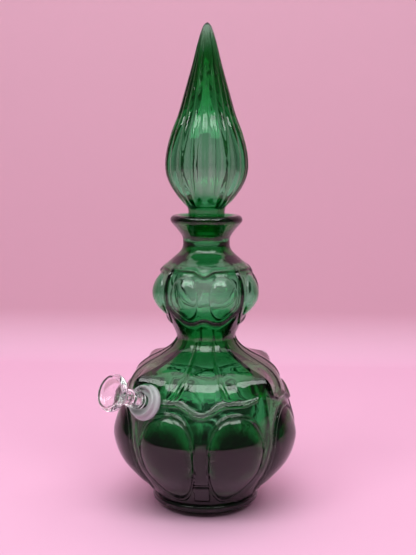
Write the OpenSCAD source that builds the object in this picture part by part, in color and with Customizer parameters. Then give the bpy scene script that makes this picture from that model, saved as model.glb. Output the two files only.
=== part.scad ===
// Green genie bottle with a flame stopper, fitted as a water pipe.
// Sizes in millimetres, +Z up, origin at the middle of the foot on the table.
// The middle of one moulded section faces -Y.

/* [Bottle] */
// Outer radius of the resting ring
foot_r = 30; // [28:0.5:32]
// Widest radius of the foot
foot_rim_r = 40; // [39:0.5:41]
// Height of the foot
foot_h = 11; // [10:0.5:12]
// Radius of the lower bulb in the middle of a section
bulb_r = 65.4; // [64.4:0.5:66.4]
// Radius of the lower bulb at the section corners
bulb_corner_r = 67.4; // [66.4:0.5:68.4]
// Height of the widest place of the lower bulb
bulb_z = 57; // [55:1:59]
// Radius of the waist between the bulbs
waist_r = 22; // [21:0.5:23]
// Height of the waist
waist_z = 128; // [127:1:129]
// Radius of the upper bulb
upper_r = 36.6; // [35.6:0.5:37.6]
// Height of the middle of the upper bulb
upper_z = 163; // [162:1:164]
// Outer radius of the neck
neck_r = 17.3; // [17:0.1:18]
// Height where the neck begins
neck_z = 197; // [196:0.5:198]
// Outer radius of the lip
lip_r = 26.6; // [26:0.1:27.5]
// Height of the mouth
mouth_z = 218.4; // [217.9:0.5:219.4]
// Thickness of the rolled lip
lip_t = 6.8; // [6.4:0.2:7.6]
// Bore of the mouth and neck
mouth_d = 27.6; // [27.2:0.1:28]
// Thickness of the glass over the thinnest it may be
extra_wall = 0; // [0:0.1:0.6]
// Height of the inner floor over the table
floor_z = 20; // [18:0.5:22]
// Height of the push-up under the foot
punt_h = 7; // [4:0.5:8]

/* [Relief] */
// Radius of the pointed corners of the cape
eave_r = 63.5; // [62:0.5:64]
// Height of the pointed corners of the cape
eave_z = 106; // [105:0.5:107]
// Height of the edge of the cape over the arches
cape_z = 89; // [88:0.5:90]
// Drop of the cape's edge in the middle of a section
cape_dip = 7.5; // [5:0.5:9]
// How far the rolled edge of the cape stands out
cape_bead = 1.5; // [0.5:0.1:2]
// Width of the flat strap between two arches
strap_w = 11; // [9:0.5:13]
// Height of the foot of the arches
arch_low = 17; // [16:0.5:19]
// Height of the crown of the arches
arch_high = 80.8; // [79.8:0.5:82.3]
// How far the glass bulges in an arch
arch_bulge = 4.6; // [3:0.2:5]
// How far the bead round an arch stands out
arch_bead = 1; // [0.3:0.1:1.3]
// How far the block at the foot of a strap stands out
block = 2.4; // [1:0.2:3]
// How far the bubbles of the upper bulb stand out
bubble_bulge = 4.2; // [3:0.2:4.6]
// Height of the seams that frame the bubbles
seam_bead = 1.3; // [0.5:0.1:1.5]

/* [Stopper] */
// Height of the tip of the flame over the table
flame_z = 356; // [340:1:370]
// Largest radius of the flame
flame_r = 30.4; // [29:0.1:31]
// Number of flutes
flute_n = 20; // [16:4:20]
// Depth of a flute as a share of the radius
flute_depth = 0.07; // [0.03:0.01:0.09]
// Radius of the neck of the stopper
plug_r = 13.4; // [13:0.1:13.4]
// Radius of the lower end of the plug
plug_end_r = 12; // [11.5:0.1:12.5]
// Height of the lower end of the plug
plug_z = 200; // [199:1:203]
// Thickness of the stopper's wall
stopper_wall = 2.6; // [2.2:0.1:4]

/* [Pipe fittings] */
// Compass angle of the drilled hole, to the left of the front
stem_side = 38.5; // [37:0.5:41]
// Tilt of the stem over the horizontal
stem_tilt = 22.5; // [20:0.5:25]
// Distance of the grommet's seat from the bottle's axis
seat_r = 62.2; // [61.8:0.1:62.6]
// Height of the grommet's seat
seat_z = 89.2; // [88:0.1:90]
// Diameter of the drilled hole
hole_d = 17; // [16:0.5:18]
// Diameter of the grommet's flange
grommet_d = 26; // [25:0.5:27]
// Thickness of the grommet's flange
flange_t = 3.6; // [3:0.1:4]
// Diameter of the grommet's raised ring
ring_d = 23; // [22:0.5:24]
// Height of the raised ring over the seat
ring_h = 7.4; // [7:0.1:8]
// Bore of the grommet
grommet_bore = 9.6; // [9.5:0.1:10]
// Diameter of the downstem
stem_d = 9.5; // [9.3:0.1:9.5]
// Bore of the downstem
stem_bore = 6.5; // [6:0.1:7]
// Length of the downstem inside the seat
stem_in = 86; // [70:1:92]
// Diameter of the socket on the downstem
socket_d = 12.6; // [12:0.1:13]
// Bore of the socket
socket_bore = 8.4; // [8.2:0.1:8.6]
// Place of the mouth of the socket, from the seat
socket_end = 18; // [16:0.5:19]
// Diameter of the bowl's tube
tube_d = 8.3; // [8:0.05:8.4]
// Depth of the bowl's tube in the socket
tube_depth = 9; // [6:0.5:9]
// Diameter of the bowl's collar
collar_d = 11.4; // [10:0.1:12]
// Diameter of the bowl over its rim
bowl_d = 26; // [24:0.5:28]
// Place of the bowl's rim, from the seat
bowl_end = 37.5; // [36:0.5:39]
// Thickness of the rolled rim of the bowl
rim_t = 4.4; // [3.5:0.1:5]

/* [Hidden] */
$fn = 96;
SECTIONS = 4;
SECTION = 360 / SECTIONS;
AROUND = 80;
RINGS = 50;
FLAME_RINGS = 26;
OVERLAP = 3;
FLAME_AROUND = 80;
// Length of the hole through the glass, and thickness of the grommet's inner flange
grip = 8.4;
inner_t = 2.6;
// Bottom of the recess in the grommet's face
dish_s = flange_t + 1;
// Flare of the mouth
funnel_h = 8;
funnel_w = 9.6;
// Height of the shoulder where the flame begins
shoulder_z = 223;
// Start of the downstem's socket, end of the bowl's collar, bottom of its cup, and its hole
socket_start = ring_h + 0.4;
collar_end = 22;
cup_s = 24;
draw_d = 3;
rim_ring_r = (bowl_d - rim_t) / 2;

// A soft step from 0 to 1 as x goes from a to b
function step(a, b, x) = let (t = min(1, max(0, (x - a) / (b - a)))) t * t * (3 - 2 * t);
// A rounded ridge of width w about c
function ridge(x, c, w) = exp(-pow((x - c) / w, 2));
// A smooth curve through the points p = [[height, radius], ...]
function slope(p, i) = let (a = max(0, i - 1), b = min(len(p) - 1, i + 1))
    (p[b][1] - p[a][1]) / (p[b][0] - p[a][0]);
function span(p, z, i = 0) = i >= len(p) - 2 || z < p[i + 1][0] ? i : span(p, z, i + 1);
function curve(p, z) = let (
    i = span(p, z), h = p[i + 1][0] - p[i][0], t = (z - p[i][0]) / h)
    p[i][1] * (1 + 2 * t) * pow(1 - t, 2) + h * slope(p, i) * t * pow(1 - t, 2)
    + p[i + 1][1] * t * t * (3 - 2 * t) - h * slope(p, i + 1) * t * t * (1 - t);

// Outline in the middle of a section, from the foot to the neck
MIDDLE = [
    [foot_h - OVERLAP, foot_rim_r - 2.5], [15, 41.5], [25, 49.5], [40, bulb_r - 5.4],
    [bulb_z, bulb_r], [70, bulb_r - 1.2], [cape_z - 7, bulb_r - 4], [95, 56.2],
    [103, 51], [109, 43.5], [115, 33.5], [121, 25.8], [waist_z, waist_r],
    [136, waist_r + 2.8], [146, 30], [155, upper_r - 1.6], [upper_z, upper_r],
    [173, upper_r - 1.9], [181, 31], [187, 24.5], [192, neck_r + 1.9],
    [neck_z - 1.5, neck_r + 0.2], [neck_z + 1, neck_r - 0.8]];
// Outline at a corner between two sections, without the point of the cape
CORNER = [
    [foot_h - OVERLAP, foot_rim_r - 2.5], [15, 42], [25, 50.5], [40, bulb_corner_r - 5.6],
    [bulb_z, bulb_corner_r], [70, bulb_corner_r - 0.2], [82, bulb_corner_r - 1.2],
    [95, 63], [100, 61], [104, 58], [107, 54.5], [110, 49.5], [113, 42.6], [116, 35.7],
    [121, 27.4], [waist_z, waist_r + 0.8], [136, waist_r + 3.8], [146, 32.5],
    [155, upper_r + 1], [upper_z, upper_r + 2.6], [173, upper_r + 0.6], [181, 32.2],
    [187, 24.8], [192, neck_r + 1.9], [neck_z - 1.5, neck_r + 0.2], [neck_z + 1, neck_r - 0.8]];
// Thickness of the glass, measured level
THICK = [
    [26, 12], [35, 8], [45, 5.5], [bulb_z, 4.2], [70, 3.8], [82, 3.2], [90, 3.2], [96, 4.4],
    [103, 6.6], [109, 9], [115, 9.6], [121, 8.6], [waist_z, 7], [136, 6.6], [146, 4.6],
    [155, 2.8], [upper_z, 2.6], [173, 2.8], [181, 5], [187, 8], [192, 7.5], [neck_z, 6]];

// Angle from the middle of the nearest section, 0 to 45
function fold(a) = abs(a - SECTION * round(a / SECTION));
// Share of the corner outline at the angle u
function squareness(u) = (1 / cos(u) - 1) / (sqrt(2) - 1);
function body(u, z) = let (s = squareness(u)) curve(MIDDLE, z) * (1 - s) + curve(CORNER, z) * s;

// Lower bulb: the cape with its pointed corners, and the two arches of a section
function cape_edge(u) = cape_z - cape_dip * (1 - step(0, 17, u)) + 3 * step(28, 40, u)
    + (eave_z - cape_z - 3) * pow(max(0, u - 38) / 7, 1.4);
function cape_point(u, z) = (eave_r - curve(CORNER, eave_z)) * pow(max(0, u - 25) / 20, 1.5)
    * step(eave_z - 18, eave_z, z) * (1 - step(eave_z, eave_z + 6.5, z));
function cape(u, z) = let (d = z - cape_edge(u))
    cape_bead * ridge(d, 1.2, 1.7) * (1 - step(40, 45, u))
    + (0.8 * (1 - step(waist_z - 22, waist_z - 6, z)) + cape_point(u, z)) * step(-0.5, 1.5, d);
function arch_e(u, z) = let (
    r = curve(MIDDLE, z), gap = asin(min(1, strap_w / 2 / r)),
    half = (SECTION / 2 - 2 * gap) / 2, mid = SECTION / 4,
    high = (arch_high - arch_low) / 2, centre = (arch_high + arch_low) / 2)
    pow(pow(abs(u - mid) / half, 2.6) + pow(abs(z - centre) / high, 2.4), 0.4);
function strap_block(u, z) = let (x = u * PI / 180 * curve(MIDDLE, z))
    block * (1 - step(strap_w / 2 - 0.8, strap_w / 2 + 0.2, x)) * step(14, 17, z) * (1 - step(28, 31, z));
function arches(u, z) = let (e = arch_e(u, z))
    arch_bulge * pow(max(0, 1 - pow(e, 2.2)), 0.55) + arch_bead * ridge(e, 1.06, 0.07);

// Upper bulb: the upper cape, two bubbles and the seams that frame them
function upper_edge(u) = 181 - 3.4 * (1 - step(0, 15, u));
function lower_seam(u) = 140.3 + 2.8 * (1 - step(0, 17, u)) + 12.7 * pow(max(0, u - 22) / 23, 2);
function bubble_e(u, z) = sqrt(pow((u - 22.5) / 16, 2) + pow((z - 161.5) / 15.5, 2));
function bubbles(u, z) = bubble_bulge * pow(max(0, 1 - pow(bubble_e(u, z), 2)), 0.6);
function seams(u, z) =
    seam_bead * (ridge(z, upper_edge(u), 1.6) + ridge(z, lower_seam(u), 1.6)
    + ridge(u, 45, 2.4) * step(150, 156, z) * (1 - step(177, 183, z)));

function skin_r(a, z) = let (u = fold(a)) body(u, z)
    + (z < waist_z ? cape(u, z) + arches(u, z) + strap_block(u, z) : bubbles(u, z) + seams(u, z));

// Outline of the flame over its flutes, from the shoulder to the tip
FLAME = [
    [shoulder_z - 2, plug_r - 2.6], [shoulder_z + 1.2, plug_r + 0.8], [227, 17],
    [231, 20.5], [239, 26], [247, flame_r - 1], [255, flame_r], [265, flame_r - 1],
    [278, 26], [291, 21], [304, 17.2], [flame_z - 31, 11.2], [flame_z - 14, 6.8],
    [flame_z - 4.3, 3.7], [flame_z - 1.2, 2.4], [flame_z, 1.4]];
// Round flutes that fade out at the shoulder
function flame_skin(a, z) = curve(FLAME, z)
    * (1 - flute_depth * step(shoulder_z + 1, shoulder_z + 9, z) * (1 - abs(cos(flute_n * a / 2))));

// A closed skin round the Z axis, with the radius f(angle, height) on each ring
module skin(heights, radii) {
    n = len(radii[0]);
    m = len(heights);
    points = concat(
        [for (i = [0:m - 1]) for (j = [0:n - 1])
            let (a = 360 * j / n) [radii[i][j] * cos(a), radii[i][j] * sin(a), heights[i]]],
        [[0, 0, heights[0]], [0, 0, heights[m - 1]]]);
    sides = [for (i = [0:m - 2]) for (j = [0:n - 1]) let (k = (j + 1) % n)
        each [[i * n + j, (i + 1) * n + j, (i + 1) * n + k],
              [i * n + j, (i + 1) * n + k, i * n + k]]];
    ends = [for (j = [0:n - 1]) let (k = (j + 1) % n)
        each [[m * n, j, k], [m * n + 1, (m - 1) * n + k, (m - 1) * n + j]]];
    polyhedron(points, concat(sides, ends));
}

// Seat of the grommet on the bulb, with +Z pointing out along the stem
module at_stem() {
    translate([-seat_r * sin(stem_side), -seat_r * cos(stem_side), seat_z])
        rotate([0, 90 - stem_tilt, -90 - stem_side])
            children();
}

// A turned ring or tube from its half section [[radius, height], ...]
module turned(outline) {
    rotate_extrude() polygon(outline);
}

module relief_body() {
    low = foot_h - OVERLAP;
    high = neck_z + 1;
    heights = [for (i = [0:RINGS]) low + (high - low) * i / RINGS];
    skin(heights, [for (z = heights) [for (j = [0:AROUND - 1]) skin_r(360 * j / AROUND, z)]]);
}

module foot() {
    turned([[0, 0], [foot_r, 0], [foot_rim_r - 3, foot_h * 0.3], [foot_rim_r, foot_h * 0.65],
        [foot_rim_r, foot_h * 0.85], [foot_rim_r - 1.5, foot_h], [0, foot_h]]);
}

module neck_and_lip() {
    ring_r = lip_r - lip_t / 2;
    rotate_extrude() {
        polygon([[0, neck_z - 2 * OVERLAP], [neck_r, neck_z - 2 * OVERLAP],
            [neck_r, neck_z + 4], [neck_r + 0.9, neck_z + 6.5], [neck_r + 4.2, neck_z + 11],
            [ring_r + lip_t * 0.35, mouth_z - lip_t * 0.85], [ring_r, mouth_z], [0, mouth_z]]);
        translate([ring_r, mouth_z - lip_t / 2]) circle(d = lip_t);
    }
}

// The hollow follows the narrowest outline at each height
module hollow() {
    turned(concat(
        [[0, floor_z + 4], [18, floor_z + 3], [30, floor_z], [foot_rim_r - 3, floor_z + 1.5]],
        [for (z = [27, 34, 44, bulb_z, 70, 82, 92, 100, 106, 111, 117, 123, waist_z, 134, 142,
            150, 157, upper_z, 170, 177, 183, 188, 192, neck_z - 1])
            [curve(MIDDLE, z) - curve(THICK, z) - extra_wall, z]],
        [[0, neck_z - 1]]));
}

module bottle() color("seagreen") difference() {
    union() {
        relief_body();
        foot();
        neck_and_lip();
    }
    hollow();
    translate([0, 0, neck_z - 2]) cylinder(d = mouth_d, h = mouth_z - neck_z + OVERLAP);
    translate([0, 0, mouth_z - funnel_h])
        cylinder(d1 = mouth_d, d2 = mouth_d + funnel_w, h = funnel_h + 0.01);
    translate([0, 0, -1]) cylinder(r1 = foot_r - 4, r2 = foot_r - 14, h = punt_h + 1);
    at_stem() translate([0, 0, -2 * grip]) cylinder(d = hole_d, h = 3 * grip);
}

module flame() {
    low = FLAME[0][0];
    heights = [for (i = [0:FLAME_RINGS]) low + (flame_z - low) * i / FLAME_RINGS];
    skin(heights, [for (z = heights) [for (j = [0:FLAME_AROUND - 1])
        flame_skin(360 * j / FLAME_AROUND, z)]]);
}

module stopper() color("mediumseagreen") difference() {
    union() {
        flame();
        turned([[0, plug_z], [plug_end_r, plug_z], [plug_r, mouth_z - funnel_h],
            [plug_r, shoulder_z + 2], [0, shoulder_z + 2]]);
    }
    turned(concat([[0, plug_z - 1], [plug_end_r - stopper_wall, plug_z - 1]],
        [[plug_end_r - stopper_wall, shoulder_z]],
        [for (z = [230, 238, 246, 255, 264, 273, 282, 291])
            [curve(FLAME, z) * (1 - flute_depth) - stopper_wall, z]],
        [[7, 299], [0, 303]]));
}

module grommet() color("whitesmoke") at_stem() turned([
    [grommet_bore / 2, -grip - inner_t], [hole_d / 2 + 1, -grip - inner_t],
    [hole_d / 2 + 2, -grip - 0.6], [hole_d / 2 + 1.4, -grip], [hole_d / 2, -grip],
    [hole_d / 2, 0], [grommet_d / 2 - 0.6, 0], [grommet_d / 2, 0.8],
    [grommet_d / 2, flange_t - 0.6], [grommet_d / 2 - 0.6, flange_t],
    [ring_d / 2, flange_t], [ring_d / 2, ring_h - 1], [ring_d / 2 - 1, ring_h],
    [ring_d / 2 - 2.6, ring_h], [ring_d / 2 - 3.6, dish_s], [grommet_bore / 2, dish_s]]);

module downstem() color("lightcyan") at_stem() difference() {
    turned([[0, -stem_in], [stem_d / 2, -stem_in], [stem_d / 2, socket_start],
        [socket_d / 2 - 0.8, socket_start], [socket_d / 2, socket_start + 1],
        [socket_d / 2, socket_end - 1], [socket_d / 2 - 0.6, socket_end], [0, socket_end]]);
    translate([0, 0, -stem_in - 1]) cylinder(d = stem_bore, h = stem_in + socket_end);
    translate([0, 0, socket_end - tube_depth - 1]) cylinder(d = socket_bore, h = tube_depth + 2);
}

module bowl() color("azure") at_stem() difference() {
    union() {
        turned([[0, socket_end - tube_depth], [tube_d / 2, socket_end - tube_depth],
            [tube_d / 2, socket_end + 0.3], [collar_d / 2, socket_end + 0.3],
            [collar_d / 2, collar_end], [collar_d / 2 - 1.2, collar_end + 0.8],
            [rim_ring_r, bowl_end - rim_t / 2 - 1], [rim_ring_r, bowl_end - rim_t],
            [rim_ring_r, bowl_end], [0, bowl_end]]);
        translate([0, 0, bowl_end - rim_t / 2])
            rotate_extrude() translate([rim_ring_r, 0]) circle(d = rim_t);
    }
    translate([0, 0, socket_end - tube_depth - 1]) cylinder(d = draw_d, h = bowl_end);
    translate([0, 0, cup_s]) cylinder(r1 = draw_d / 2, r2 = rim_ring_r - rim_t / 2,
        h = bowl_end - cup_s + 0.01);
}

bottle();
stopper();
grommet();
downstem();
bowl();
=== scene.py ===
"""A green moulded-glass genie bottle with a flame stopper, fitted as a water pipe."""

import math

import bpy
import numpy as np
from mathutils import Matrix, Vector


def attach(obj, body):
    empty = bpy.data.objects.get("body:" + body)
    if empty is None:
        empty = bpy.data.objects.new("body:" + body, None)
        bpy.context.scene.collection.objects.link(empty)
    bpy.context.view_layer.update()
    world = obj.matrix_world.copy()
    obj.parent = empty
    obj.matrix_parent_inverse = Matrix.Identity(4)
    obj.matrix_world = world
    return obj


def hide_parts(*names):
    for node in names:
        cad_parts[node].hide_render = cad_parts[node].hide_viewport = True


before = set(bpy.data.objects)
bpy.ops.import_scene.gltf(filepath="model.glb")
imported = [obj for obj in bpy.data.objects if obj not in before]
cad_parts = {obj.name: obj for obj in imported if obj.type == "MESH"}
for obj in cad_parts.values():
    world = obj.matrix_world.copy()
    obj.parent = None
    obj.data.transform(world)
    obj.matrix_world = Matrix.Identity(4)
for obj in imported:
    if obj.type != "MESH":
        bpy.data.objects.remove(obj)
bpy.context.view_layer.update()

MM = 0.001

# ---------------------------------------------------------------- sizes, in millimetres
FOOT_R = 30.0
FOOT_RIM_R = 40.0
FOOT_H = 11.0
BULB_R = 65.4
BULB_CORNER_R = 67.4
BULB_Z = 57.0
WAIST_R = 22.0
WAIST_Z = 128.0
UPPER_R = 36.6
UPPER_Z = 163.0
NECK_R = 17.3
NECK_Z = 197.0
LIP_R = 26.6
LIP_T = 6.8
MOUTH_Z = 218.4
MOUTH_R = 13.8
FUNNEL_H = 8.0
FUNNEL_R = 18.6
PUNT_H = 7.0
FLOOR_Z = 20.0

# Relief of the lower bulb
EAVE_R = 63.5
EAVE_Z = 106.0
CAPE_Z = 89.0
CAPE_DIP = 7.5
CAPE_BEAD = 1.8
TONGUE_BEAD = 0.9
STRAP_W = 11.0
ARCH_LOW = 17.0
ARCH_HIGH = 80.8
ARCH_BULGE = 4.6
ARCH_BEAD = 1.3
BLOCK = 2.4

# Relief of the upper bulb
BUBBLE_Z = 161.5
BUBBLE_HALF_H = 15.5
BUBBLE_BULGE = 4.2
SEAM_BEAD = 1.3
UPRIGHT_SEAM = (150, 156, 177, 183)

FLAME_Z = 356.0
FLAME_R = 30.4
FLAME_HOLLOW_Z = 334.0
FLUTES = 20
FLUTE_DEPTH = 0.06
SHOULDER_Z = 223.0
PLUG_R = 13.4
PLUG_END_R = 12.0
PLUG_Z = 200.0
PLUG_WALL = 3.6

# The grommet's seat on the bottle. The fittings are measured from it, outwards along the stem
SEAT_R = 62.2
SEAT_Z = 89.2
HOLE_D = 17.0
STEM_R = 4.75
STEM_BORE_R = 3.25
STEM_END = -85.6
SOCKET_R = 6.3

# ---------------------------------------------------------------- angles
STEM_SIDE = math.radians(38.5)
STEM_TILT = math.radians(22.5)

# In degrees from the middle of a section: its corner, and the middle of an arch or bubble
SECTION = 90.0
CORNER_U = SECTION / 2
ARCH_U = SECTION / 4
BUBBLE_HALF_U = 16.0
CAPE_RISE_U = 38.0
CAPE_POINT_U = 25.0

# Points round a piece
AROUND = 640
AROUND_RING = 128
AROUND_STEM = 96
AROUND_HOLE = 64


# ---------------------------------------------------------------- curves
def step(a, b, x):
    """A soft step from 0 to 1 as x goes from a to b."""
    t = np.clip((x - a) / (b - a), 0.0, 1.0)
    return t * t * (3 - 2 * t)


def fall(a, b, x):
    """A soft step from 1 to 0 as x goes from a to b."""
    return 1 - step(a, b, x)


def band(a, b, c, d, x):
    """A soft step up from a to b, and down again from c to d."""
    return step(a, b, x) * fall(c, d, x)


def ridge(x, centre, width):
    """A rounded ridge of that width about centre."""
    return np.exp(-(((x - centre) / width) ** 2))


def curve(points, z):
    """A smooth curve through (height, value) points."""
    p = np.array(points)
    n = len(p)
    before = np.maximum(np.arange(n) - 1, 0)
    after = np.minimum(np.arange(n) + 1, n - 1)
    slope = (p[after, 1] - p[before, 1]) / (p[after, 0] - p[before, 0])
    i = np.clip(np.searchsorted(p[:, 0], z, side="right") - 1, 0, n - 2)
    h = p[i + 1, 0] - p[i, 0]
    t = np.clip((z - p[i, 0]) / h, 0.0, 1.0)
    return (
        p[i, 1] * (1 + 2 * t) * (1 - t) ** 2
        + h * slope[i] * t * (1 - t) ** 2
        + p[i + 1, 1] * t * t * (3 - 2 * t)
        - h * slope[i + 1] * t * t * (1 - t)
    )


# Outlines of the bottle as (height, radius), in the middle of a section and between two
# sections. cape_point adds the cape's point to the second
MIDDLE = [
    (FOOT_H - 3, FOOT_RIM_R - 2.5), (15, 41.5), (25, 49.5), (40, BULB_R - 5.4),
    (BULB_Z, BULB_R), (70, BULB_R - 1.2), (CAPE_Z - 7, BULB_R - 4), (95, 56.2),
    (103, 51), (109, 43.5), (115, 33.5), (121, 25.8), (WAIST_Z, WAIST_R),
    (136, WAIST_R + 2.8), (146, 30), (155, UPPER_R - 1.6), (UPPER_Z, UPPER_R),
    (173, UPPER_R - 1.9), (181, 31), (187, 24.5), (192, NECK_R + 1.9),
    (NECK_Z - 1.5, NECK_R + 0.2), (NECK_Z + 2, NECK_R),
]
CORNER = [
    (FOOT_H - 3, FOOT_RIM_R - 2.5), (15, 42), (25, 50.5), (40, BULB_CORNER_R - 5.6),
    (BULB_Z, BULB_CORNER_R), (70, BULB_CORNER_R - 0.2), (82, BULB_CORNER_R - 1.2),
    (95, 63), (100, 61), (104, 58), (107, 54.5), (110, 49.5), (113, 42.6), (116, 35.7),
    (121, 27.4), (WAIST_Z, WAIST_R + 0.8), (136, WAIST_R + 3.8), (146, 32.5),
    (155, UPPER_R + 1), (UPPER_Z, UPPER_R + 2.6), (173, UPPER_R + 0.6), (181, 32.2),
    (187, 24.8), (192, NECK_R + 1.9), (NECK_Z - 1.5, NECK_R + 0.2), (NECK_Z + 2, NECK_R),
]
# Thickness of the bottle's glass under the relief, measured level
THICK = [
    (26, 12), (35, 8), (45, 5.5), (BULB_Z, 4.2), (70, 3.8), (82, 3.2), (90, 3.2), (96, 4.4),
    (103, 6.6), (109, 9), (115, 9.6), (121, 8.6), (WAIST_Z, 7), (136, 6.6), (146, 4.6),
    (155, 2.3), (UPPER_Z, 2.0), (173, 2.3), (181, 5), (187, 8), (192, 7.5), (NECK_Z, 6),
]
# Half-width, in degrees, of the tongue that runs down the middle of each section
TONGUE = [(82, 12), (90, 20), (97, 17), (105, 14.6), (118, 15), (WAIST_Z, 16), (136, 16)]
FLAME = [
    (SHOULDER_Z - 2, PLUG_R), (SHOULDER_Z + 1.2, PLUG_R + 0.8), (227, 17),
    (231, 20.5), (239, 26), (247, FLAME_R - 1), (255, FLAME_R), (265, FLAME_R - 1),
    (278, 26), (291, 21), (304, 17.2), (FLAME_Z - 31, 11.2), (FLAME_Z - 14, 6.8),
    (FLAME_Z - 4.3, 3.7), (FLAME_Z - 1.2, 2.0), (FLAME_Z, 0.3),
]
# The flame's wall is thinnest where the flame is widest, and grows towards the solid tip
FLAME_THICK = [
    (SHOULDER_Z, 5.2), (229, 3.4), (236, 1.9), (255, 1.3), (278, 2.2), (291, 3.6), (304, 5.4),
    (318, 7.0), (330, 8.0), (336, 8.6),
]


# ---------------------------------------------------------------- moulded relief of the bottle
# u is the angle from the middle of the nearest section in degrees, and z the height
def fold(angle):
    """Angle from the middle of the nearest section, 0 to 45 degrees."""
    return np.abs(angle - SECTION * np.round(angle / SECTION))


def from_middle(u, z):
    """Distance round the bottle from the middle of the section."""
    return u * math.pi / 180 * curve(MIDDLE, z)


def body(u, z, square=1.0):
    """Radius without relief. A smaller square makes the body rounder."""
    share = square * (1 / np.cos(np.radians(u)) - 1) / (math.sqrt(2) - 1)
    return curve(MIDDLE, z) * (1 - share) + curve(CORNER, z) * share


def cape_edge(u):
    """Height of the cape's lower edge, which dips in the middle and rises to the point."""
    near = (np.maximum(0, u - CAPE_RISE_U) / (CORNER_U - CAPE_RISE_U)) ** 1.4
    rise = (EAVE_Z - CAPE_Z - 3) * near
    return CAPE_Z - CAPE_DIP * fall(0, 17, u) + 3 * step(28, 40, u) + rise


def cape_point(u, z):
    """How far the point of the cape stands out between two sections."""
    near = (np.maximum(0, u - CAPE_POINT_U) / (CORNER_U - CAPE_POINT_U)) ** 1.5
    out = (EAVE_R - curve(CORNER, EAVE_Z)) * near
    return out * step(EAVE_Z - 18, EAVE_Z, z) * fall(EAVE_Z, EAVE_Z + 6.5, z)


def cape(u, z):
    """The cape with its rolled edge and its tongue."""
    d = z - cape_edge(u)
    rolled = CAPE_BEAD * ridge(d, 1.2, 1.5) * fall(40, CORNER_U, u)
    line_u = curve(TONGUE, z)
    on_cape = step(2, 6, d) * fall(WAIST_Z + 2, WAIST_Z + 8, z)
    tongue = TONGUE_BEAD * (ridge(u, line_u, 1.8) - 0.6 * fall(line_u - 3, line_u, u))
    lift = 0.8 * fall(WAIST_Z - 22, WAIST_Z - 6, z) + cape_point(u, z)
    return rolled + lift * step(-0.5, 1.5, d) + tongue * on_cape


def arch_e(u, z):
    """0 at the middle of the nearest arch and 1 on its outline."""
    gap = np.degrees(np.arcsin(np.minimum(1, STRAP_W / 2 / curve(MIDDLE, z))))
    half = (CORNER_U - 2 * gap) / 2
    high = (ARCH_HIGH - ARCH_LOW) / 2
    centre = (ARCH_HIGH + ARCH_LOW) / 2
    across = np.abs(u - ARCH_U) / half
    return (across**2.6 + (np.abs(z - centre) / high) ** 2.4) ** 0.4


def arches(u, z):
    """The two domes of a section, the bead round each, and the block at the strap's foot."""
    e = arch_e(u, z)
    dome = ARCH_BULGE * np.maximum(0, 1 - e**2.2) ** 0.55
    on_strap = fall(STRAP_W / 2 - 0.8, STRAP_W / 2 + 0.2, from_middle(u, z))
    block = BLOCK * on_strap * band(14, 17, 28, 31, z)
    return dome + ARCH_BEAD * band(1.0, 1.03, 1.08, 1.11, e) + block


def upper_edge(u):
    """Height of the seam over the bubbles."""
    return 181 - 3.4 * fall(0, 15, u)


def lower_seam(u):
    """Height of the seam under the bubbles, which rises to the corner."""
    return 140.3 + 2.8 * fall(0, 17, u) + 12.7 * (np.maximum(0, u - 22) / 23) ** 2


def bubbles(u, z):
    """The two bubbles of a section."""
    e = np.sqrt(((u - ARCH_U) / BUBBLE_HALF_U) ** 2 + ((z - BUBBLE_Z) / BUBBLE_HALF_H) ** 2)
    return BUBBLE_BULGE * np.maximum(0, 1 - e * e) ** 0.6


def seams(u, z):
    """The seams over and under the bubbles, and the upright one at the corner."""
    upright = ridge(u, CORNER_U, 1.9) * band(*UPRIGHT_SEAM, z)
    return SEAM_BEAD * (ridge(z, upper_edge(u), 1.3) + ridge(z, lower_seam(u), 1.3) + upright)


def skin_r(angle, z):
    """Outer radius of the glass."""
    u = fold(angle)
    lower = cape(u, z) + arches(u, z)
    upper = bubbles(u, z) + seams(u, z)
    return body(u, z) + np.where(z < WAIST_Z, lower, upper)


def inner_r(angle, z):
    """Inner radius: the hollow follows the outside softly, without its sharp relief."""
    u = fold(angle)
    domes = np.where(z < WAIST_Z, 0.4 * arches(u, z), 0.85 * bubbles(u, z))
    return body(u, z, 0.75) + domes - curve(THICK, z)


def flame_r(angle, z):
    """Outer radius of the stopper's fluted flame."""
    valley = 1 - np.abs(np.cos(np.radians(FLUTES * angle / 2)))
    return curve(FLAME, z) * (1 - FLUTE_DEPTH * step(SHOULDER_Z + 1, SHOULDER_Z + 9, z) * valley)


# ---------------------------------------------------------------- mesh building
def arc(centre_r, centre_z, radius, start, end, count):
    """(r, z) points along an arc, angles in degrees from +r towards +z."""
    a = np.radians(np.linspace(start, end, count))
    return [(centre_r + radius * math.cos(t), centre_z + radius * math.sin(t)) for t in a]


def line(a, b, count):
    """count points from a to b, leaving b out."""
    along = range(count)
    return [(a[0] + (b[0] - a[0]) * k / count, a[1] + (b[1] - a[1]) * k / count) for k in along]


def new_object(name, verts, faces):
    """A smooth-shaded mesh object. The points are in metres."""
    mesh = bpy.data.meshes.new(name)
    mesh.from_pydata(verts.tolist(), [], faces)
    mesh.validate()
    mesh.polygons.foreach_set("use_smooth", [True] * len(mesh.polygons))
    obj = bpy.data.objects.new(name, mesh)
    bpy.context.collection.objects.link(obj)
    return obj


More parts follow.
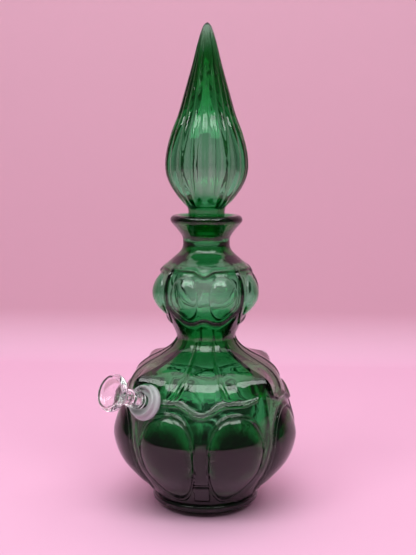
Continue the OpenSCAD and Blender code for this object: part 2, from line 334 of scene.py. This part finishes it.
def lathe(name, rows, around=AROUND, ring=False, place=None):
    """A closed solid from rows of (radius, height) in millimetres.

    A radius is one number or one per angle. A ring joins its last row to its first; otherwise
    both ends close on the axis."""
    angle = np.arange(around) * 2 * math.pi / around
    points = []
    for r, z in rows:
        radius = np.broadcast_to(r, around)
        height = np.broadcast_to(z, around)
        points.append(np.stack([radius * np.cos(angle), radius * np.sin(angle), height], 1))
    faces = []
    count = len(rows)
    for i in range(count if ring else count - 1):
        a = i * around
        b = (i + 1) % count * around
        faces += [(a + j, a + (j + 1) % around, b + (j + 1) % around, b + j) for j in range(around)]
    verts = np.concatenate(points)
    if not ring:
        first = len(verts)
        last = first + 1
        top = (count - 1) * around
        verts = np.vstack([verts, [0, 0, np.mean(rows[0][1])], [0, 0, np.mean(rows[-1][1])]])
        faces += [(first, (j + 1) % around, j) for j in range(around)]
        faces += [(last, top + j, top + (j + 1) % around) for j in range(around)]
    if place is not None:
        verts = verts @ np.array(place.to_3x3()).T + np.array(place.translation)
    return new_object(name, verts * MM, faces)


def cut(obj, tool):
    """Takes the tool away from the object and drops it."""
    change = obj.modifiers.new("hole", "BOOLEAN")
    change.operation = "DIFFERENCE"
    change.solver = "MANIFOLD"
    change.object = tool
    graph = bpy.context.evaluated_depsgraph_get()
    mesh = bpy.data.meshes.new_from_object(obj.evaluated_get(graph))
    obj.modifiers.clear()
    obj.data = mesh
    bpy.data.objects.remove(tool, do_unlink=True)
    mesh.set_sharp_from_angle(angle=math.radians(50))


def at_stem():
    """The grommet's seat, with +Z pointing out along the stem."""
    seat = Vector((-SEAT_R * math.sin(STEM_SIDE), -SEAT_R * math.cos(STEM_SIDE), SEAT_Z))
    aside = Matrix.Rotation(-math.pi / 2 - STEM_SIDE, 4, "Z")
    outwards = Matrix.Rotation(math.pi / 2 - STEM_TILT, 4, "Y")
    return Matrix.Translation(seat) @ (aside @ outwards)


def mark_painted_shade(obj):
    """Stores on each point how much the glass's colour is darkened: painted shade in the arches, on
    the straps and along the creases of the relief, and darker at the foot."""
    mesh = obj.data
    flat = np.empty(len(mesh.vertices) * 3)
    mesh.vertices.foreach_get("co", flat)
    x, y, z = flat.reshape(-1, 3).T / MM
    u = fold(np.degrees(np.arctan2(y, x)))
    e = arch_e(u, z)
    on_strap = fall(STRAP_W / 2 - 1, STRAP_W / 2, from_middle(u, z))
    # Painted shade in the arches, on the strap and along the creases; darker at the foot
    lower = [
        fall(0.62, 0.95, e),
        0.9 * on_strap * fall(70, 77, z),
        fall(FOOT_H, 15, z),
        0.7 * ridge(e, 1.0, 0.03),
        0.6 * ridge(z, cape_edge(u) - 1.4, 1.0),
    ]
    # Painted shade along the seams of the upper bulb
    upper = [
        0.7 * ridge(z, upper_edge(u) - 1.8, 0.9),
        0.7 * ridge(z, lower_seam(u) + 1.8, 0.9),
        0.8 * ridge(u, CORNER_U, 1.6) * band(*UPRIGHT_SEAM, z),
    ]
    is_lower = fall(WAIST_Z - 8, WAIST_Z, z)
    painted_shade = is_lower * np.max(lower, 0) + (1 - is_lower) * np.max(upper, 0)
    painted_shade[z > NECK_Z] = 0
    mesh.attributes.new("painted_shade", "FLOAT", "POINT").data.foreach_set("value", painted_shade)


# ---------------------------------------------------------------- pieces
def build_bottle():
    """One closed shell: under the foot, up the outside, over the lip and down the hollow."""
    angle = np.arange(AROUND) * 360 / AROUND
    # Push-up, the ring the bottle stands on, and the foot's rounded rim
    punt_r = FOOT_R - 3
    rows = [(r, PUNT_H * (1 - (r / punt_r) ** 2)) for r in np.linspace(2, punt_r, 14)]
    rows += [(FOOT_R - 2, 0.0), (FOOT_R - 0.8, 0.0)]
    rows += arc(FOOT_R - 0.8, 1.2, 1.2, -70, -35, 3)
    rows += line((FOOT_R + 1.2, 1.2), (FOOT_RIM_R - 2.2, 4.6), 6)
    rows += arc(FOOT_RIM_R - 3.4, 7.2, 3.4, -35, 70, 9)
    # Moulded bulbs
    for z in np.concatenate([np.linspace(FOOT_H, 30, 44), np.arange(30.5, NECK_Z + 1.5, 0.5)]):
        rows.append((skin_r(angle, z), z))
    # Neck and rolled lip
    rows += line((NECK_R, NECK_Z + 2), (NECK_R, NECK_Z + 5), 3)
    lip_mid = MOUTH_Z - LIP_T / 2
    lip_ring = LIP_R - LIP_T / 2
    flare = [(NECK_Z + 4, NECK_R), (NECK_Z + 6.5, NECK_R + 0.9), (NECK_Z + 11, NECK_R + 4.2),
             (lip_mid - 0.7 * LIP_T / 2, lip_ring + 0.7 * LIP_T / 2)]
    rows += [(curve(flare, z), z) for z in np.linspace(NECK_Z + 5, flare[-1][0] - 0.1, 16)]
    rows += arc(lip_ring, lip_mid, LIP_T / 2, -45, 100, 20)
    # Funnel and bore of the neck
    rows += line((FUNNEL_R + 1.2, MOUTH_Z - 0.6), (MOUTH_R + 0.8, MOUTH_Z - FUNNEL_H + 0.8), 8)
    rows += line((MOUTH_R, MOUTH_Z - FUNNEL_H - 0.6), (MOUTH_R, NECK_Z), 8)
    # Hollow, its rounded lower edge, and a floor that rises over the push-up
    turn_z = FLOOR_Z + 6
    for z in np.concatenate([np.arange(NECK_Z - 1, 36, -0.8), np.linspace(36, turn_z, 10)]):
        rows.append((inner_r(angle, z), z))
    low = inner_r(angle, turn_z)
    turn = np.radians([15, 30, 45, 60, 72])
    rows += [(low * math.cos(t) ** 0.5, turn_z - 6 * math.sin(t)) for t in turn]
    rows += [(r, FLOOR_Z + 0.2 + 4 * step(28, 0, r)) for r in (24.0, 20.0, 15.0, 10.0, 5.0, 1.0)]
    bottle = lathe("glass_bottle", rows)
    hole = [(HOLE_D / 2, -30), (HOLE_D / 2, 30)]
    cut(bottle, lathe("hole_tool", hole, AROUND_HOLE, place=at_stem()))
    # Painted shade darkens the glass's colour over the relief
    mark_painted_shade(bottle)
    return bottle


def build_stopper():
    """One closed shell: down the flame's hollow and the plug's bore, and up the outside."""
    angle = np.arange(AROUND) * 360 / AROUND
    bore = PLUG_END_R - PLUG_WALL
    rows = []
    for z in np.linspace(FLAME_HOLLOW_Z, SHOULDER_Z, 90):
        dome = math.sqrt(max(0.02, min(1.0, (FLAME_HOLLOW_Z + 1 - z) / 8)))
        smooth = curve(FLAME, z) * (1 - FLUTE_DEPTH) - curve(FLAME_THICK, z)
        wavy = 0.25 * (flame_r(angle, z) - curve(FLAME, z) * (1 - FLUTE_DEPTH / 2))
        least = bore if z < 240 else 0.9
        rows.append((np.maximum(smooth, least) * dome + wavy * dome, z))
    # Bore, rounded end and outside of the plug
    rows += line((bore, SHOULDER_Z - 1), (bore, PLUG_Z + 1), 8)
    rows += arc(bore + 1.4, PLUG_Z + 1.2, 1.2, 190, 260, 4)
    rows += arc(PLUG_END_R - 1.2, PLUG_Z + 1.2, 1.2, -80, 0, 5)
    rows += line((PLUG_END_R + 0.1, PLUG_Z + 2), (PLUG_R, MOUTH_Z - FUNNEL_H), 8)
    rows += line((PLUG_R, MOUTH_Z - FUNNEL_H), (PLUG_R, SHOULDER_Z - 1.5), 6)
    # Flame, with closer rows at its shoulder and its tip
    heights = np.concatenate([np.arange(SHOULDER_Z - 1, 232, 0.4), np.arange(232, FLAME_Z - 8, 0.8),
                              np.linspace(FLAME_Z - 8, FLAME_Z - 0.02, 22)])
    rows += [(flame_r(angle, z), z) for z in heights]
    return lathe("flame_stopper", rows)


def build_grommet():
    """A ring with a flange inside the glass, and one outside with a raised ring and a recess."""
    rows = [(4.8, -11), (9.3, -11), (9.9, -10.6), (10.3, -9.6), (9.8, -8.6), (8.4, -8.2)]
    rows += [(8.4, -1), (8.4, 0), (12.2, -0.2)]
    rows += arc(12.0, 1.0, 1.0, -70, 0, 5) + arc(12.0, 2.6, 1.0, 0, 80, 5)
    rows += [(11.5, 3.8), (11.4, 4.4)] + arc(10.3, 6.3, 1.1, 0, 170, 10)
    rows += [(8.9, 5.4), (8.3, 4.9), (6.8, 4.6), (5.4, 4.5)] + arc(5.2, 4.1, 0.4, 90, 170, 4)
    return lathe("silicone_grommet", rows, AROUND_RING, True, at_stem())


def build_downstem():
    """A tube through the grommet, with a socket for the bowl at its outer end."""
    rows = [(STEM_R, STEM_END), (STEM_R, -40), (STEM_R, 6.6), (4.85, 7.4)]
    rows += arc(5.5, 8.6, 0.8, 190, 260, 4) + arc(5.5, 8.6, 0.8, -80, 0, 5)
    rows += [(SOCKET_R, 12.0), (6.05, 12.5), (SOCKET_R, 13.0), (SOCKET_R, 15.6)]
    rows += arc(5.6, 16.8, 0.7, 0, 90, 5) + arc(4.9, 17.2, 0.7, 110, 180, 5)
    rows += [(4.2, 16), (4.2, 8.6)]
    rows += [(STEM_BORE_R, 7.6), (STEM_BORE_R, -40), (STEM_BORE_R, STEM_END)]
    rows += arc(4.0, STEM_END + 0.3, 0.7, 200, 340, 6)
    return lathe("glass_downstem", rows, AROUND_STEM, True, at_stem())


def build_bowl():
    """A tube that stands in the socket, a collar, and a funnel with a rolled rim."""
    rows = [(2.0, 9.2), (3.9, 9.2), (4.15, 9.6), (4.15, 18.4), (5.2, 18.7)]
    rows += arc(5.2, 19.2, 0.5, -60, 60, 4)
    rows += [(4.8, 20.2)] + arc(5.2, 21.2, 0.6, -60, 70, 5)
    rows += [(4.9, 22.4), (5.4, 24), (6.6, 27), (8.6, 30.6), (10.6, 33)]
    rows += arc(10.8, 35.3, 2.2, -50, 200, 22)
    rows += [(7.6, 32.6), (5.4, 29), (3.6, 26.2), (2.2, 25), (1.5, 24.2), (1.5, 18), (1.6, 12)]
    return lathe("glass_bowl", rows, AROUND_RING, True, at_stem())


# ---------------------------------------------------------------- materials
def shader(name):
    """A new material, its node tree and its shader."""
    material = bpy.data.materials.new(name)
    material.use_nodes = True
    return material, material.node_tree, material.node_tree.nodes["Principled BSDF"]


def noise(tree, scale):
    """A noise of that many waves to the metre."""
    place = tree.nodes.new("ShaderNodeTexCoord")
    texture = tree.nodes.new("ShaderNodeTexNoise")
    texture.inputs["Scale"].default_value = scale
    texture.inputs["Detail"].default_value = 2.0
    tree.links.new(place.outputs["Object"], texture.inputs["Vector"])
    return texture.outputs["Fac"]


def bump(tree, principled, height, strength, distance):
    """Makes the surface uneven by that height."""
    node = tree.nodes.new("ShaderNodeBump")
    node.inputs["Strength"].default_value = strength
    node.inputs["Distance"].default_value = distance
    tree.links.new(height, node.inputs["Height"])
    tree.links.new(node.outputs["Normal"], principled.inputs["Normal"])


def spread(tree, value, low, high):
    """The value, which goes from 0 to 1, spread from low to high."""
    node = tree.nodes.new("ShaderNodeMapRange")
    node.inputs["To Min"].default_value = low
    node.inputs["To Max"].default_value = high
    tree.links.new(value, node.inputs["Value"])
    return node.outputs["Result"]


def two_colours(tree, value, start, end, position):
    """A colour that goes from start, where the value is 0, to end, where it is position."""
    node = tree.nodes.new("ShaderNodeValToRGB")
    node.color_ramp.elements[0].color = (*start, 1)
    node.color_ramp.elements[1].color = (*end, 1)
    node.color_ramp.elements[1].position = position
    tree.links.new(value, node.inputs["Fac"])
    return node.outputs["Color"]


def glass(name, tint, density, ior, wave, painted_shade=None):
    """Glass that takes its colour from the depth of glass that light goes through.

    Given a colour for painted shade, the surface colour is darkened towards it where the piece is
    marked, as painted shade."""
    material, tree, principled = shader(name)
    principled.inputs["Base Color"].default_value = (1, 1, 1, 1)
    # Painted shade: the base colour goes towards the given colour where the piece is marked
    if painted_shade is not None:
        mark = tree.nodes.new("ShaderNodeAttribute")
        mark.attribute_name = "painted_shade"
        colour = two_colours(tree, mark.outputs["Fac"], (1, 1, 1), painted_shade, 1.0)
        tree.links.new(colour, principled.inputs["Base Color"])
    principled.inputs["Transmission Weight"].default_value = 1.0
    principled.inputs["IOR"].default_value = ior
    tree.links.new(spread(tree, noise(tree, 60), 0.0, 0.03), principled.inputs["Roughness"])
    bump(tree, principled, noise(tree, wave), 0.25, 0.0006)
    absorb = tree.nodes.new("ShaderNodeVolumeAbsorption")
    absorb.inputs["Color"].default_value = (*tint, 1)
    absorb.inputs["Density"].default_value = density
    tree.links.new(absorb.outputs["Volume"], tree.nodes["Material Output"].inputs["Volume"])
    return material


def silicone(name):
    """Milky rubber with a fine grain."""
    material, tree, principled = shader(name)
    principled.inputs["Base Color"].default_value = (0.86, 0.91, 0.91, 1)
    principled.inputs["Transmission Weight"].default_value = 0.55
    principled.inputs["IOR"].default_value = 1.41
    tree.links.new(spread(tree, noise(tree, 400), 0.25, 0.4), principled.inputs["Roughness"])
    bump(tree, principled, noise(tree, 900), 0.2, 0.0002)
    return material


# ---------------------------------------------------------------- the object
GREEN = glass(
    "green_glass", tint=(0.13, 0.77, 0.426), density=430.0, ior=1.52, wave=90,
    # Colour of the painted shade on the bottle's arches, straps, creases and foot
    painted_shade=(0.06, 0.1, 0.09),
)
CLEAR = glass("clear_glass", tint=(0.75, 0.92, 0.85), density=12.0, ior=1.47, wave=150)
SILICONE = silicone("silicone")

PIECES = [
    (build_bottle, "bottle", "bottle_body", "green_glass", GREEN),
    (build_stopper, "stopper", "stopper_body", "green_glass", GREEN),
    (build_grommet, "grommet", "bottle_body", "silicone", SILICONE),
    (build_downstem, "downstem", "downstem_body", "clear_glass", CLEAR),
    (build_bowl, "bowl", "bowl_body", "clear_glass", CLEAR),
]
for build, node, rides_on, slot, material in PIECES:
    piece = build()
    piece.data.materials.clear()
    piece.data.materials.append(material)
    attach(piece, rides_on)
    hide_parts(node)

# ---------------------------------------------------------------- stage, in metres
WALL_Y = 0.50
WALL_TOP = 2.2
SWEEP_R = 0.06
STAGE_W = 6.0
STAGE_FRONT = 8.0


def build_sweep():
    """Floor and back wall in one, joined by a round sweep."""
    side = [(-STAGE_FRONT, 0.0), (WALL_Y - SWEEP_R, 0.0)]
    turn = np.radians(np.linspace(0, 90, 13)[1:])
    side += [(WALL_Y - SWEEP_R + SWEEP_R * math.sin(t), SWEEP_R - SWEEP_R * math.cos(t)) for t in turn]
    side += [(WALL_Y, WALL_TOP)]
    verts = np.array([(x, y, z) for y, z in side for x in (-STAGE_W, STAGE_W)])
    faces = [(2 * i, 2 * i + 1, 2 * i + 3, 2 * i + 2) for i in range(len(side) - 1)]
    return new_object("sweep", verts, faces)


def paper(name, floor_colour, wall_colour_in_painted_shade):
    """Matt paper whose colour goes over along the sweep to a darker colour on the wall, which is
    painted shade where the wall gets less of the light from above.
    """
    material, tree, principled = shader(name)
    place = tree.nodes.new("ShaderNodeTexCoord")
    apart = tree.nodes.new("ShaderNodeSeparateXYZ")
    tree.links.new(place.outputs["Object"], apart.inputs["Vector"])
    # Painted shade: the wall is coloured darker than the floor
    colour = two_colours(tree, apart.outputs["Z"], floor_colour, wall_colour_in_painted_shade, SWEEP_R)
    tree.links.new(colour, principled.inputs["Base Color"])
    principled.inputs["Roughness"].default_value = 0.75
    return material


sweep = build_sweep()
# The darker wall colour is painted shade
sweep.data.materials.append(paper("pale_pink_paper", (0.88, 0.51, 0.71), (0.73, 0.43, 0.54)))


# ---------------------------------------------------------------- light
def area_light(name, place, target, size, power):
    """A white rectangular light at place that shines towards target."""
    data = bpy.data.lights.new(name, "AREA")
    data.shape = "RECTANGLE"
    data.size, data.size_y = size
    data.energy = power
    light = bpy.data.objects.new(name, data)
    light.location = place
    light.rotation_euler = (Vector(target) - Vector(place)).to_track_quat("-Z", "Y").to_euler()
    bpy.context.collection.objects.link(light)


WINDOW_X = -0.05
WINDOW_APART = 0.76
for pane in (-1, 0, 1):
    place = (WINDOW_X + WINDOW_APART * pane, -0.85, 1.5)
    area_light("front_window", place, target=(0, 0, 0.1), size=(0.66, 0.7), power=8)
area_light("top_soft", (0.0, 0.1, 1.9), target=(0, 0, 0), size=(2.6, 1.4), power=17)

world = bpy.data.worlds.new("studio")
world.use_nodes = True
world.node_tree.nodes["Background"].inputs["Color"].default_value = (1.0, 0.97, 0.98, 1)
world.node_tree.nodes["Background"].inputs["Strength"].default_value = 0.12

scene = bpy.context.scene
scene.world = world
scene.view_settings.view_transform = "Standard"
scene.cycles.max_bounces = 24
scene.cycles.transmission_bounces = 24
scene.cycles.glossy_bounces = 8

# ---------------------------------------------------------------- camera
# It stands a little to the right of the middle of a section and looks down
CAMERA_SIDE = math.radians(3.0)
CAMERA_DISTANCE = 0.6752
CAMERA_HEIGHT = 0.2656
CAMERA_OFF = 0.0013
CAMERA_DOWN = math.radians(7.9)
CAMERA_ROLL = math.radians(0.23)
FOCUS_PER_HEIGHT = 1.655

lens = bpy.data.cameras.new("camera")
lens.sensor_fit = "VERTICAL"
lens.sensor_height = 24.0
lens.lens = FOCUS_PER_HEIGHT * lens.sensor_height
camera = bpy.data.objects.new("camera", lens)
spin = Matrix.Rotation(CAMERA_SIDE, 4, "Z")
back = Matrix.Translation((CAMERA_OFF, -CAMERA_DISTANCE, CAMERA_HEIGHT))
tilt = Matrix.Rotation(math.pi / 2 - CAMERA_DOWN, 4, "X")
roll = Matrix.Rotation(CAMERA_ROLL, 4, "Z")
camera.matrix_world = spin @ back @ tilt @ roll
bpy.context.collection.objects.link(camera)
scene.camera = camera
